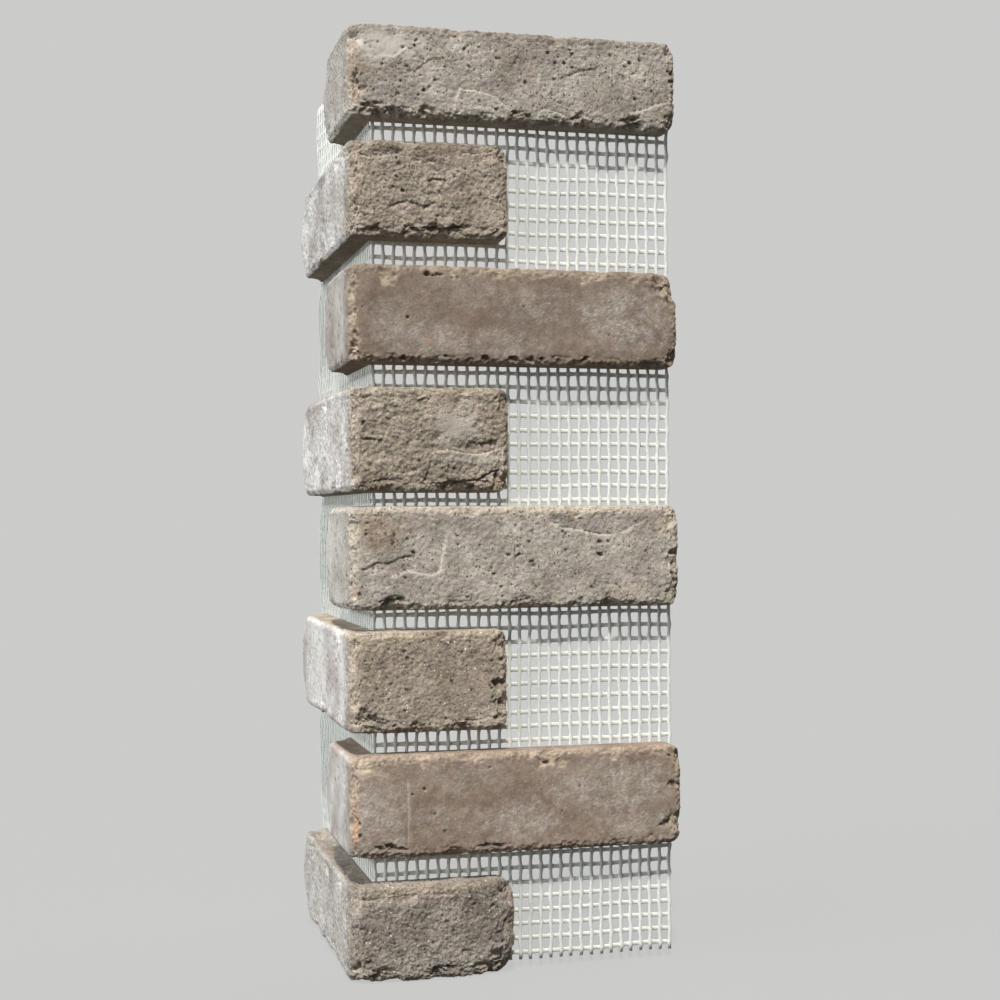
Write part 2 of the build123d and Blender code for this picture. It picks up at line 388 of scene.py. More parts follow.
class BrickSettings(PropertyGroup):
    """Sizes and colours of the tumbled bricks."""

    voxel: size_setting("Skin grid", "Spacing of the points that carry a brick's relief", 0.62)
    triangles: IntProperty(name="Triangles", description="Triangles kept on each brick", default=98000)
    warp: size_setting("Warp", "Depth of the slow waves in a fired face", 0.9)
    grain_size: size_setting("Grain", "Width of the sandy grains", 2.3)
    sand_size: size_setting("Sand", "Width of the finest grains", 1.3)
    clay_size: size_setting("Clay", "Width of the rough tears of clay", 8.0)
    lump_size: size_setting("Lumps", "Width of the lumps left by tumbling", 26.0)
    taupe_dark: colour_setting("Taupe, dark", "Darker half of the grey-taupe skin", (0.27, 0.236, 0.2))
    taupe_light: colour_setting("Taupe, light", "Lighter half of the grey-taupe skin", (0.42, 0.38, 0.325))
    rough_dark: colour_setting("Rough brown, dark", "Darker half of the rough skin", (0.235, 0.192, 0.148))
    rough_light: colour_setting("Rough brown, light", "Lighter half of the rough skin", (0.385, 0.33, 0.265))
    brown_dark: colour_setting("Smooth brown, dark", "Darker half of the smooth skin", (0.2, 0.146, 0.11))
    brown_light: colour_setting(
        "Smooth brown, light", "Lighter half of the smooth skin", (0.275, 0.216, 0.17)
    )
    granular_dark: colour_setting(
        "Granular grey, dark", "Darker half of the granular skin", (0.18, 0.151, 0.124)
    )
    granular_light: colour_setting(
        "Granular grey, light", "Lighter half of the granular skin", (0.31, 0.274, 0.232)
    )
    bloom: colour_setting("Bloom", "Whitish lime bloom and smears", (0.52, 0.49, 0.43))
    side: colour_setting("Side skin", "Pale struck skin of the side leg", (0.65, 0.632, 0.6))
    side_shade: colour_setting("Side skin, shade", "Duller patches of the side leg", (0.4, 0.362, 0.335))
    # Lime smeared on wet clay; the same colour is also laid along the proud ridges of folds as a painted
    # highlight.
    smear: colour_setting("Smear", "Lime smeared on wet clay", (0.56, 0.52, 0.45))
    rosy: colour_setting("Rosy tint", "Tint of the redder clay", (1.0, 0.962, 0.985))
    mossy: colour_setting("Mossy tint", "Tint of the greener clay", (0.972, 0.99, 0.94))
    # Bare clay on worn and chipped arrises, laid stronger along the upper arris and held back along the lower
    # one, so partly a painted highlight.
    tan: colour_setting("Tan", "Worn arrises", (0.5, 0.41, 0.3))
    red: colour_setting("Red clay", "Freshly broken clay", (0.42, 0.235, 0.15))
    stain: colour_setting("Stain", "Rusty stain", (0.235, 0.165, 0.11))
    # Cavity: painted shade, the dark laid in pits, tears, dents, fold grooves and broken lower arrises, and
    # on the darkened upper arris.
    cavity: colour_setting("Cavity", "Inside pits and tears", (0.05, 0.042, 0.034))
    sparkle: colour_setting("Pale grains", "Grains of grog", (0.78, 0.74, 0.66))


class NetSettings(PropertyGroup):
    """Sizes and colour of the woven net."""

    upright_width: size_setting("Upright width", "Width of an upright strand", 1.9)
    cross_width: size_setting("Cross width", "Width of a cross strand", 2.2)
    thickness: size_setting("Thickness", "Thickness of one strand", 0.5)
    upright_pitch: size_setting("Upright pitch", "Nominal spacing of uprights", 6.0)
    cross_pitch: size_setting("Cross pitch", "Nominal spacing of crosses", 8.0)
    zigzag: size_setting("Zigzag", "How far a twisted upright leans each way", 0.32)
    wander: size_setting("Wander", "How far strands stray in the weave", 0.9)
    billow: size_setting("Billow", "How far bare net waves off the wall plane", 1.0)
    flare: size_setting("Flare", "How far the side leg's free edge stands out", 2.6)
    yarn: colour_setting("Yarn", "Coated yarn", (0.71, 0.725, 0.66))


class StageSettings(PropertyGroup):
    """Camera, lights and floor."""

    lens: FloatProperty(
        name="Lens", description="Focal length in millimetres on a 36 mm sensor", default=60.93
    )
    eye: FloatVectorProperty(
        name="Eye", description="Where the camera stands", default=(-0.16505, -0.92926, 0.25575),
        subtype="TRANSLATION", unit="LENGTH",
    )
    yaw: angle_setting("Yaw", "Turn of the camera towards the front leg's end", 0.2514)
    pitch: angle_setting("Pitch", "Tilt of the camera upwards", 0.0094)
    roll: angle_setting("Roll", "Roll of the camera", -0.0049)
    key: FloatProperty(name="Key", description="Strength of the high front light", default=4.3)
    fill: FloatProperty(name="Fill", description="Strength of the broad light from the left", default=3.8)
    back: FloatProperty(name="Back", description="Strength of the broad light behind the net", default=1.6)
    sky: FloatProperty(name="Sky", description="Strength of the light from all round", default=0.14)
    floor: colour_setting("Floor", "Colour of the floor, which takes the shadow", (0.05, 0.05, 0.05))
    backdrop: colour_setting("Backdrop", "Pale surround, as the camera sees it", (0.6, 0.6, 0.59))
    floor_glow: colour_setting(
        "Floor glow", "What makes up the floor's colour to the backdrop's", (0.5077, 0.5077, 0.4977)
    )


def ramp(value, low, high):
    """0 below low, 1 above high and smooth between; low may be the larger of the two."""
    share = np.clip((value - low) / (high - low), 0, 1)
    return share * share * (3 - 2 * share)


def near(distance, reach):
    """1 at a place, falling off smoothly round it over about the given reach."""
    return np.exp(-((distance / reach) ** 2))


def clay_noise(points, size, octaves=3):
    """Smooth noise, about -1 to 1, with waves of the given size at places in millimetres."""
    fall, step = 0.9, 2.1
    return np.array([noise.fractal(place, fall, step, octaves) for place in (points / size).tolist()])


def grain_noise(points, size):
    """Distance to the nearest of many scattered grains, about 0 at a grain's top and 1 between grains."""
    return np.array([noise.voronoi(place)[0][0] for place in (points / size).tolist()])


def line_reach(skin, line):
    """For each point of a skin: its distance to a line, its side of it, and a taper at the line's ends."""
    end_share = 0.14
    nearest = np.full(len(skin.along), 1e6)
    above = np.zeros(len(skin.along))
    taper = np.zeros(len(skin.along))
    lengths = [math.dist(a, b) for a, b in zip(line, line[1:])]
    walked = 0.0
    for (a, b), length in zip(zip(line, line[1:]), lengths):
        run = ((b[0] - a[0]) / length, (b[1] - a[1]) / length)
        off_along, off_up = skin.along - a[0], skin.up - a[1]
        on = np.clip(off_along * run[0] + off_up * run[1], 0, length)
        gap = np.hypot(off_along - on * run[0], off_up - on * run[1])
        closer = gap < nearest
        nearest = np.where(closer, gap, nearest)
        above = np.where(closer, np.sign(run[0] * off_up - run[1] * off_along), above)
        share = (walked + on) / sum(lengths)
        taper = np.where(closer, ramp(np.minimum(share, 1 - share), 0, end_share), taper)
        walked += length
    return nearest, above, taper


Skin = namedtuple(
    "Skin",
    "points along up deep height to_top to_bottom to_corner to_front_end to_side_end front facing inward",
)


def inward_ways(off, size):
    """Directions into a brick from its skin: square to the faces, and turning gradually round the arrises."""
    turn = 10.0
    ways = np.zeros_like(off)
    for axis in range(3):
        ways[:, axis] += ramp(off[:, axis], turn, 0)
        ways[:, axis] -= ramp(size[axis] - off[:, axis], turn, 0)
    return ways / np.maximum(np.linalg.norm(ways, axis=1, keepdims=True), 0.1)


def read_skin(points, normals, node):
    """Where each point of a brick lies on its skin, in millimetres."""
    low, high = (np.array(corner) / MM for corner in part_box(node))
    off = points - low
    deep = np.minimum(off[:, 0], off[:, 1])
    along = off[:, 0] - off[:, 1]
    height = high[2] - low[2]
    return Skin(
        points, along, off[:, 2], deep, height,
        to_top=np.hypot(deep, height - off[:, 2]),
        to_bottom=np.hypot(deep, off[:, 2]),
        to_corner=np.hypot(off[:, 0], off[:, 1]),
        to_front_end=np.hypot(deep, high[0] - low[0] - off[:, 0]),
        to_side_end=np.hypot(deep, high[1] - low[1] - off[:, 1]),
        front=ramp(along, -3, 4),
        facing=ramp(-normals[:, :2].min(axis=1), 0.1, 0.8),
        inward=inward_ways(off, high - low),
    )


class Relief:
    """Depth of a brick's relief, the masks of its finishes and its painted shade, built up feature by
    feature.
    """

    FINISHES = ("bloom", "stain", "tan", "red", "smear", "smooth", "side")

    def __init__(self, skin, crumble):
        self.skin = skin
        self.crumble = crumble
        self.depth = np.zeros(len(skin.along))
        self.cavity = np.zeros(len(skin.along))
        self.masks = {finish: np.zeros(len(skin.along)) for finish in self.FINISHES}
        self.tree = kdtree.KDTree(len(skin.along))
        for index, place in enumerate(zip(skin.along.tolist(), skin.up.tolist(), skin.deep.tolist())):
            self.tree.insert(place, index)
        self.tree.balance()

    def lay_patch(self, patch, edge):
        """Spread a finish over a soft-edged oval; edge is the noise that frays its outline."""
        along = (self.skin.along - patch.along) / patch.half_along
        up = (self.skin.up - patch.up) / patch.half_up
        oval = ramp(np.hypot(along, up) + 0.45 * edge, 1.15, 0.45)
        mask = patch.strength * oval * ramp(self.skin.deep, 9, 4)
        self.masks[patch.finish] = np.maximum(self.masks[patch.finish], mask)

    def press_fold(self, fold, edge):
        """One layer of clay laid on another along a line, with painted shade in its groove and a painted
        highlight along its proud ridge.
        """
        groove_reach, crest_reach = 0.55, 1.3
        gap, above, taper = line_reach(self.skin, fold.line)
        gap = np.maximum(gap + 0.5 * edge, 0)
        on_face = taper * ramp(self.skin.deep, 7, 3)
        sunk = above > 0 if fold.lip > 0 else above <= 0
        self.depth += np.where(sunk, abs(fold.lip) * np.exp(-gap / fold.reach), 0) * on_face
        groove = near(gap, groove_reach) * on_face * ramp(self.crumble, 0.8, -0.4)
        self.depth += fold.gap * groove
        # Painted shade in the groove.
        self.cavity = np.maximum(self.cavity, min(0.8, 0.6 * fold.gap) * groove)
        # Painted highlight along the proud ridge, in the lime colour.
        crest_highlight = np.where(sunk, 0, near(gap, crest_reach)) * on_face
        self.masks["smear"] = np.maximum(self.masks["smear"], 0.6 * fold.pale * crest_highlight)

    def dig(self, hole, darkness=1.0, stretch=1.0, slant=0.0):
        """Open one ragged pit, deepest at its middle, and paint shade into it by darkness; stretch draws it
        out along the given slant.
        """
        turn_along, turn_up = math.cos(slant), math.sin(slant)
        reach = hole.radius * max(1.0, stretch) * 1.2
        for place, index, _ in self.tree.find_range((hole.along, hole.up, 0), reach):
            off_along, off_up = place[0] - hole.along, place[1] - hole.up
            ahead = (off_along * turn_along + off_up * turn_up) / stretch
            aside = off_up * turn_along - off_along * turn_up
            share = 1 - math.hypot(ahead, aside, place[2]) / hole.radius - 0.55 * self.crumble[index]
            if share > 0:
                wall = min(1.0, 1.7 * share)
                self.depth[index] = max(self.depth[index], 0.6 * self.depth[index] + hole.depth * wall)
                self.cavity[index] = max(self.cavity[index], darkness * wall)

    def knock_off(self, chip, grit, bare):
        """Break a shallow dish out of an arris; grit roughens its rim, and bare is how strongly its clay
        shows the worn colour.
        """
        rough = 0.4 * min(1.0, 8 / chip.radius)
        for _, index, gap in self.tree.find_range((chip.along, chip.up, 0), chip.radius * 1.3):
            share = 1 - gap / chip.radius - rough * grit[index]
            if share > 0:
                wall = min(1.0, 1.6 * share)
                wall *= wall * (3 - 2 * wall)
                self.depth[index] += chip.depth * wall
                self.masks["tan"][index] = max(self.masks["tan"][index], bare * wall)


def tumble(brick, skin, settings, chance):
    """The relief of one brick: waves, lumps, clay, grain, folds, pits, dents and broken arrises."""
    points = skin.points + np.array([chance.uniform(-NOISE_SPREAD, NOISE_SPREAD) for _ in range(3)])
    relief = Relief(skin, clay_noise(points, CRUMBLE, 2))
    fray = clay_noise(points, FRAY)
    for patch in brick.patches:
        relief.lay_patch(patch, fray)

    smooth = np.maximum(relief.masks["smooth"], 0.75 * relief.masks["smear"])
    bulk = 0.25 + 0.75 * skin.facing
    warp = clay_noise(points, WARP, 2)
    lumps = clay_noise(points, settings.lump_size / MM, 2)
    clay = clay_noise(points, settings.clay_size / MM, 4)
    side = ramp(skin.along + 5 * fray + 9 * lumps, -brick.wrap + 3, -brick.wrap - 19)
    calm = (1 - 0.88 * smooth) * (1 - 0.4 * side) * (0.5 + 0.5 * skin.facing)
    grain = grain_noise(points, settings.grain_size / MM)
    relief.depth += settings.warp / MM * bulk * np.clip(0.4 + 0.6 * warp, 0, 1.2)
    relief.depth += brick.lumps * bulk * np.clip(0.3 + 0.6 * lumps, 0, 1.2)
    relief.depth += brick.clay * calm * np.clip(0.45 + 0.75 * clay, 0, 1.5)
    relief.depth += brick.grain * calm * ramp(grain, 0.15, 0.95)
    sand = grain_noise(points, settings.sand_size / MM)
    relief.depth += 0.45 * brick.grain * calm * ramp(sand, 0.2, 0.9)
    # Painted shade in the deepest tears and between grains.
    tears = ramp(clay, -0.45, -0.95) + 0.5 * ramp(grain, 0.75, 1.1) + 0.35 * ramp(sand, 0.7, 1.0)
    relief.cavity += 0.55 * calm * np.clip(tears, 0, 1) * min(1.0, brick.grain / 0.5)
    tear_edges(relief, brick, fray, ramp(grain, 0.1, 0.9), ramp(sand, 0.65, 1.0), side)

    for fold in brick.folds:
        relief.press_fold(fold, 0.6 * fray)
    break_arrises(relief, brick, points)
    scatter_pits(relief, brick, chance)
    dent_side(relief, chance)
    for hole in brick.holes:
        # Each hole is painted dark inside as shade, less so for the wide ones.
        slim = Hole(hole.along, hole.up, 0.85 * hole.radius, hole.depth)
        darkness, stretches = (0.6, (1.3, 2.0)) if hole.radius > 2 else (0.85, (1.0, 1.5))
        relief.dig(slim, darkness, chance.uniform(*stretches), chance.uniform(-0.4, 0.4))
    bare = 0.62 - 0.5 * min(brick.grain, 0.7)
    for chip in brick.chips:
        relief.knock_off(chip, fray, bare)

    relief.masks["side"] = brick.pale * side * skin.facing * np.clip(0.9 + 0.3 * lumps + 0.15 * clay, 0, 1)
    back_starts, back_ends = 11.0, 13.6
    relief.depth = np.maximum(relief.depth, 0) * ramp(skin.deep, back_ends, back_starts)
    return relief


def tear_edges(relief, brick, fray, grain, gaps, side):
    """Leave a ragged band of bare grains along every arris, widest on the smooth bricks, with painted shade
    in its gaps.
    """
    skin = relief.skin
    edges = (skin.to_top, skin.to_bottom, skin.to_corner, skin.to_front_end, skin.to_side_end)
    torn = ramp(np.minimum.reduce(edges) + 2.6 * fray, 6.0, 2.2) * (1 - 0.6 * side)
    # Lighter clay is held back along the lower arris: painted shade there.
    clear_of_lower_shade = 1 - 0.75 * near(skin.to_bottom, 6.0)
    relief.depth += max(0.85 - brick.grain, 0.25) * torn * grain
    relief.cavity = np.maximum(relief.cavity, 0.6 * torn * gaps * skin.facing)
    bare = 0.52 - 0.55 * min(brick.grain, 0.7)
    tan = bare * torn * (1 - gaps) * (1 - 0.7 * side) * clear_of_lower_shade
    relief.masks["tan"] = np.maximum(relief.masks["tan"], tan)


def break_arrises(relief, brick, points):
    """Chip the arrises, painting shade into the broken lower one, and lay worn clay, partly a painted
    highlight, on the others.
    """
    skin = relief.skin
    chips = clay_noise(points, CHIPPING, 4)
    bites = clay_noise(points, BITES, 3)
    lower = near(skin.to_bottom, 4.2)
    upper = near(skin.to_top, 3.6)
    corner = near(skin.to_corner, 4.5)
    ends = near(np.minimum(skin.to_front_end, skin.to_side_end), 4.5)
    to_bed = np.minimum(skin.up, skin.height - skin.up)
    corner_points = near(np.hypot(skin.to_corner, to_bed), 9.0)
    side_points = near(np.hypot(skin.to_side_end, to_bed), 13.0)
    worn_round = near(skin.to_corner, 6.5) + 0.9 * corner_points
    relief.depth += 1.6 * worn_round * np.clip(0.9 + 0.4 * bites, 0.5, 1.3)
    relief.depth += 3.2 * side_points
    broken = np.clip(chips + 0.8 * bites + 0.1, 0, 1.5)
    relief.depth += brick.ragged * broken * lower
    others = np.maximum(upper, np.maximum(corner, ends))
    relief.depth += 0.45 * brick.ragged * np.clip(chips + 0.5 * bites, 0, 1.2) * others
    # Painted shade in the breaks of the lower arris.
    shade = 0.3 * brick.ragged * lower * ramp(broken, 0.3, 0.9) * skin.front
    relief.cavity = np.maximum(relief.cavity, shade)
    worn = np.clip(0.45 + 0.9 * chips, 0, 1) * (0.3 + 0.7 * skin.front)
    thin = 0.5 - 0.4 * min(brick.grain, 0.7)
    # Worn clay on the arrises, laid stronger on the upper arris as a painted highlight from above.
    wear_and_highlight = np.maximum((0.4 + thin) * upper, thin * np.maximum(corner, ends)) * worn
    tan = np.maximum(relief.masks["tan"] * np.clip(0.75 + 0.5 * chips, 0, 1), wear_and_highlight)
    # The upper arris painted darker, with the painted shade colour.
    grime = brick.grime * near(skin.to_top, 5.0)
    relief.cavity += grime
    relief.masks["tan"] = tan * (1 - grime)


def scatter_pits(relief, brick, chance):
    """Small open pits all over the front leg, and fewer on the side leg, each painted dark inside as shade.
    """
    skin = relief.skin
    front_end, side_end = skin.along.max(), -skin.along.min()
    for _ in range(brick.pits):
        radius = min(1.3, chance.lognormvariate(-0.52, 0.3))
        pit = Hole(chance.uniform(1, front_end - 1), chance.uniform(2, skin.height - 2), radius, 1.1 * radius)
        _, index, _ = relief.tree.find((pit.along, pit.up, 0))
        open_clay = 1 - max(relief.masks["smear"][index], relief.masks["smooth"][index])
        darkness = open_clay * chance.uniform(0.4, 1.0)
        relief.dig(pit, darkness, chance.uniform(1.0, 1.8), chance.uniform(-1.5, 1.5))
    for _ in range(round(0.25 * brick.pits * side_end / front_end) + 12):
        radius = min(1.2, chance.lognormvariate(-0.5, 0.3))
        pit = Hole(-chance.uniform(1, side_end - 1), chance.uniform(2, skin.height - 2), radius, 0.9 * radius)
        relief.dig(pit, chance.uniform(0.3, 0.8), chance.uniform(1.0, 2.0), chance.uniform(-1.5, 1.5))


def dent_side(relief, chance):
    """Shallow dents all over the side leg, each painted darker inside."""
    skin = relief.skin
    side_end = -skin.along.min()
    for _ in range(round(0.55 * side_end)):
        radius = chance.uniform(0.9, 2.3)
        along, up = -chance.uniform(3, side_end - 2), chance.uniform(3, skin.height - 3)
        dent = Hole(along, up, radius, 0.4 * radius)
        relief.dig(dent, chance.uniform(0.2, 0.6), chance.uniform(1.0, 1.9), chance.uniform(-1.5, 1.5))


def merged_copy(node):
    """A copy of a CAD node's mesh with its loose triangles joined up."""
    solid = bmesh.new()
    solid.from_mesh(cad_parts[node].data)
    bmesh.ops.remove_doubles(solid, verts=solid.verts, dist=1e-6)
    return to_mesh(solid, node)


def to_mesh(solid, name):
    """Close a bmesh into a mesh."""
    mesh = bpy.data.meshes.new(name)
    solid.to_mesh(mesh)
    solid.free()
    return mesh


def add_object(name, data):
    """A new object at the origin."""
    piece = bpy.data.objects.new(name, data)
    bpy.context.scene.collection.objects.link(piece)
    return piece


def apply_modifier(piece, kind, **values):
    """Add one modifier and keep its result as the mesh."""
    modifier = piece.modifiers.new(kind.title(), kind)
    for name, value in values.items():
        setattr(modifier, name, value)
    evaluated = piece.evaluated_get(bpy.context.evaluated_depsgraph_get())
    shaped = bpy.data.meshes.new_from_object(evaluated)
    piece.modifiers.clear()
    unshaped = piece.data
    piece.data = shaped
    bpy.data.meshes.remove(unshaped)


def read_vectors(items, field):
    """One vector per item, as rows."""
    rows = np.empty(len(items) * 3, np.float32)
    items.foreach_get(field, rows)
    return rows.reshape(-1, 3).astype(float)


def keep_inside(mesh, points):
    """Move a mesh's points, none of them past the CAD model's box."""
    inside = np.clip(points, np.array(CAD_BOX[0]), np.array(CAD_BOX[1]))
    mesh.vertices.foreach_set("co", inside.astype(np.float32).ravel())
    mesh.update()


def build_brick(number, settings):
    """One corner brick, cut from its CAD solid and tumbled."""
    brick, node = BRICKS[number], f"corner_brick_{number}"
    chance = random.Random(BRICK_SEED + number)
    piece = add_object(f"brick_{number}", merged_copy(node))
    apply_modifier(piece, "REMESH", mode="VOXEL", voxel_size=settings.voxel)
    mesh = piece.data
    points = read_vectors(mesh.vertices, "co")
    normals = read_vectors(mesh.vertex_normals, "vector")
    skin = read_skin(points / MM, normals, node)
    relief = tumble(brick, skin, settings, chance)
    keep_inside(mesh, points + skin.inward * relief.depth[:, None] * MM)
    for name, mask in {**relief.masks, "cavity": relief.cavity}.items():
        if name != "smooth":
            layer = mesh.attributes.new(name, "FLOAT", "POINT")
            layer.data.foreach_set("value", np.clip(mask, 0, 1).astype(np.float32))
    triangles = sum(len(face.vertices) - 2 for face in mesh.polygons)
    apply_modifier(piece, "DECIMATE", ratio=min(1.0, settings.triangles * brick.share / triangles))
    keep_inside(piece.data, read_vectors(piece.data.vertices, "co"))
    piece.data.shade_smooth()
    piece.data.set_sharp_from_angle(angle=SHARP_ANGLE)
    piece.data.materials.clear()
    piece.data.materials.append(fired_clay(f"fired_clay_{number}", brick, settings))
    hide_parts(node)
    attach(piece, "root")


def add_node(tree, kind, links=(), **values):
    """A shader node with its values set and its inputs linked, as (input, socket) pairs."""
    made = tree.nodes.new(kind)
    for name, value in values.items():
        setattr(made, name, value)
    for name, value in links:
        if isinstance(value, bpy.types.NodeSocket):
            tree.links.new(value, made.inputs[name])
        else:
            made.inputs[name].default_value = value
    return made


def noise_value(tree, place, scale, detail=2.0):
    """Noise from 0 to 1; scale is in waves per metre."""
    links = (("Vector", place), ("Scale", scale), ("Detail", detail))
    return add_node(tree, "ShaderNodeTexNoise", links).outputs["Fac"]


def stretch(tree, value, low, high, to_low=0.0, to_high=1.0):
    """Spread a value from low to high over the new range, clamped."""
    links = (("Value", value), ("From Min", low), ("From Max", high), ("To Min", to_low), ("To Max", to_high))
    return add_node(tree, "ShaderNodeMapRange", links).outputs["Result"]


def blotches(tree, place, scale, detail, low, high, to_low=0.0, to_high=1.0):
    """Noise of one scale with its middle part, from low to high, spread over the new range."""
    return stretch(tree, noise_value(tree, place, scale, detail), low, high, to_low, to_high)


def add_bump(tree, shader, height, strength, distance):
    """Roughen a shader's surface by a height."""
    links = (("Strength", strength), ("Distance", distance), ("Height", height))
    tree.links.new(add_node(tree, "ShaderNodeBump", links).outputs["Normal"], shader.inputs["Normal"])


def multiply(tree, first, second):
    """The product of two values."""
    return add_node(tree, "ShaderNodeMath", ((0, first), (1, second)), operation="MULTIPLY").outputs[0]


def cover(tree, below, colour, share, mode="MIX"):
    """Lay a colour over another by share."""
    over, under = (
        layer if isinstance(layer, bpy.types.NodeSocket) else (*layer, 1.0) for layer in (colour, below)
    )
    links = ((0, share), (6, under), (7, over))
    return add_node(tree, "ShaderNodeMix", links, data_type="RGBA", blend_type=mode).outputs[2]


def mask_value(tree, name):
    """A mask that the brick's mesh carries."""
    return add_node(tree, "ShaderNodeAttribute", attribute_name=name).outputs["Fac"]


def new_material(name):
    """An empty material with its shader, and the piece's own coordinates."""
    material = bpy.data.materials.new(name)
    material.use_nodes = True
    tree = material.node_tree
    shader = tree.nodes["Principled BSDF"]
    return material, tree, shader, add_node(tree, "ShaderNodeTexCoord").outputs["Object"]


def fired_clay(name, brick, settings):
    """Fired clay in two tones, with grains, bloom, stains, worn arrises that are partly a painted highlight,
    and pits painted dark as shade.
    """
    material, tree, shader, place = new_material(name)
    coarse = min(1.0, brick.grain / 0.6)
    tone = blotches(tree, place, 48, 5, 0.32, 0.68)
    colour = cover(tree, getattr(settings, brick.dark), getattr(settings, brick.light), tone)
    mottle = blotches(tree, place, 210, 4, 0.3, 0.7, 0.84 * brick.shade, 1.2 * brick.shade)
    colour = cover(tree, colour, mottle, 1.0, "MULTIPLY")
    tint = cover(tree, settings.rosy, settings.mossy, blotches(tree, place, 130, 5, 0.38, 0.62))

    drag = (("Vector", place), ("Rotation", (0.0, 1.1, 0.0)), ("Scale", (1.0, 1.0, 2.2)))
    dragged = add_node(tree, "ShaderNodeMapping", drag, vector_type="TEXTURE").outputs[0]
    clouds = blotches(tree, place, 170, 4, 0.34, 0.62, 0.25, 1.0)
    scratched = multiply(tree, clouds, blotches(tree, dragged, 900, 4, 0.42, 0.64, 0.3, 1.0))
    frayed = blotches(tree, place, 260, 5, 0.34, 0.58, 0.3, 1.0)
    washed = blotches(tree, place, 320, 5, 0.3, 0.52, 0.62, 1.0)
    pale_side = cover(tree, settings.side, settings.side_shade, blotches(tree, place, 26, 4, 0.42, 0.68))
    finishes = (
        ("side", pale_side, washed),
        ("bloom", settings.bloom, scratched),
        ("stain", settings.stain, frayed),
        ("tan", settings.tan, frayed),
        ("red", settings.red, frayed),
    )
    for finish, shade, edge in finishes:
        colour = cover(tree, colour, shade, multiply(tree, mask_value(tree, finish), edge))

    smear = mask_value(tree, "smear")
    struck = stretch(tree, mask_value(tree, "side"), 0.1, 0.8, 1.0, 0.4)
    colour = cover(tree, colour, tint, struck, "MULTIPLY")
    bare = multiply(tree, struck, stretch(tree, smear, 0.2, 0.8, 1.0, 0.2))
    spread = 0.12 + 0.2 * coarse
    speckle = blotches(tree, place, 820, 3, 0.3, 0.7, 1 - spread, 1 + spread)
    colour = cover(tree, colour, speckle, bare, "MULTIPLY")
    thin = blotches(tree, place, 150, 4, 0.3, 0.5, 0.7, 1.0)
    # Lime smear, and the painted highlight along fold ridges.
    colour = cover(tree, colour, settings.smear, multiply(tree, smear, thin))

    pale = scattered_grains(tree, place, 520.0, 0.86, 0.2)
    colour = cover(tree, colour, settings.sparkle, multiply(tree, pale, brick.sparkle))
    # Pits too small for the mesh, as dark specks of painted shade.
    pit_shade_specks = scattered_grains(tree, place, 560.0, 1 - brick.pits / 1300, 0.28)
    colour = cover(tree, colour, settings.cavity, multiply(tree, multiply(tree, pit_shade_specks, bare), 0.9))
    # The mesh's painted shade.
    colour = cover(tree, colour, settings.cavity, multiply(tree, mask_value(tree, "cavity"), 0.85))
    tree.links.new(colour, shader.inputs["Base Color"])
    shader.inputs["Roughness"].default_value = 0.92
    shader.inputs["Specular IOR Level"].default_value = 0.2
    add_bump(tree, shader, noise_value(tree, place, 900, 4), bare, (0.16 + 0.45 * coarse) * MM)
    return material


def scattered_grains(tree, place, scale, rarity, size):
    """1 on small grains in those cells of a scatter whose lot is above rarity; size is a share of a cell."""
    shift = (1.2 * MM,) * 3
    frayed = add_node(tree, "ShaderNodeTexNoise", (("Vector", place), ("Scale", 900.0))).outputs["Color"]
    scaled = ((0, frayed), (1, shift))
    shifted = add_node(tree, "ShaderNodeVectorMath", scaled, operation="MULTIPLY").outputs[0]
    moved = add_node(tree, "ShaderNodeVectorMath", ((0, place), (1, shifted)), operation="ADD").outputs[0]
    cells = add_node(tree, "ShaderNodeTexVoronoi", (("Vector", moved), ("Scale", scale)))
    lot = add_node(tree, "ShaderNodeSeparateColor", (("Color", cells.outputs["Color"]),)).outputs[0]
    grain = stretch(tree, cells.outputs["Distance"], 1.3 * size, 0.7 * size)
    return multiply(tree, grain, stretch(tree, lot, rarity, rarity + 0.01))


def strand(run, steps, wide, thick):
    """A six-sided flat strand from the origin along run, in equal steps, with closed ends."""
    solid = bmesh.new()
    corners = ((-0.5, 0), (-0.38, 0.5), (0.38, 0.5), (0.5, 0), (0.38, -0.5), (-0.38, -0.5))
    profile = [solid.verts.new(wide * across + thick * through) for across, through in corners]
    for first, second in zip(profile, profile[1:] + profile[:1]):
        solid.edges.new((first, second))
    outline = solid.verts[:] + solid.edges[:]
    bmesh.ops.spin(
        solid, geom=outline, cent=(0, 0, 0), axis=(0, 0, 1), dvec=run / steps, angle=0.0, steps=steps
    )
    bmesh.ops.holes_fill(solid, edges=solid.edges[:], sides=6)
    bmesh.ops.recalc_face_normals(solid, faces=solid.faces[:])
    return solid


def repeat(solid, start, pitch, count):
    """Copies of a strand side by side, the first one moved to start."""
    bmesh.ops.translate(solid, verts=solid.verts[:], vec=start)
    geometry = solid.verts[:] + solid.edges[:] + solid.faces[:]
    bmesh.ops.spin(
        solid, geom=geometry, cent=(0, 0, 0), axis=(0, 0, 1), dvec=pitch, angle=0.0, steps=count - 1,
        use_duplicate=True,
    )
    return solid


def bare_share(along, up, covers):
    """1 well away from the bricks and 0 behind them; covers are (leg end, bottom, top) in millimetres."""
    bare = np.ones(len(along))
    for end, bottom, top in covers:
        away = np.hypot(np.maximum(along - end, 0), np.maximum(np.maximum(bottom - up, up - top), 0))
        bare = np.minimum(bare, ramp(away, 1.0, 16.0))
    return bare


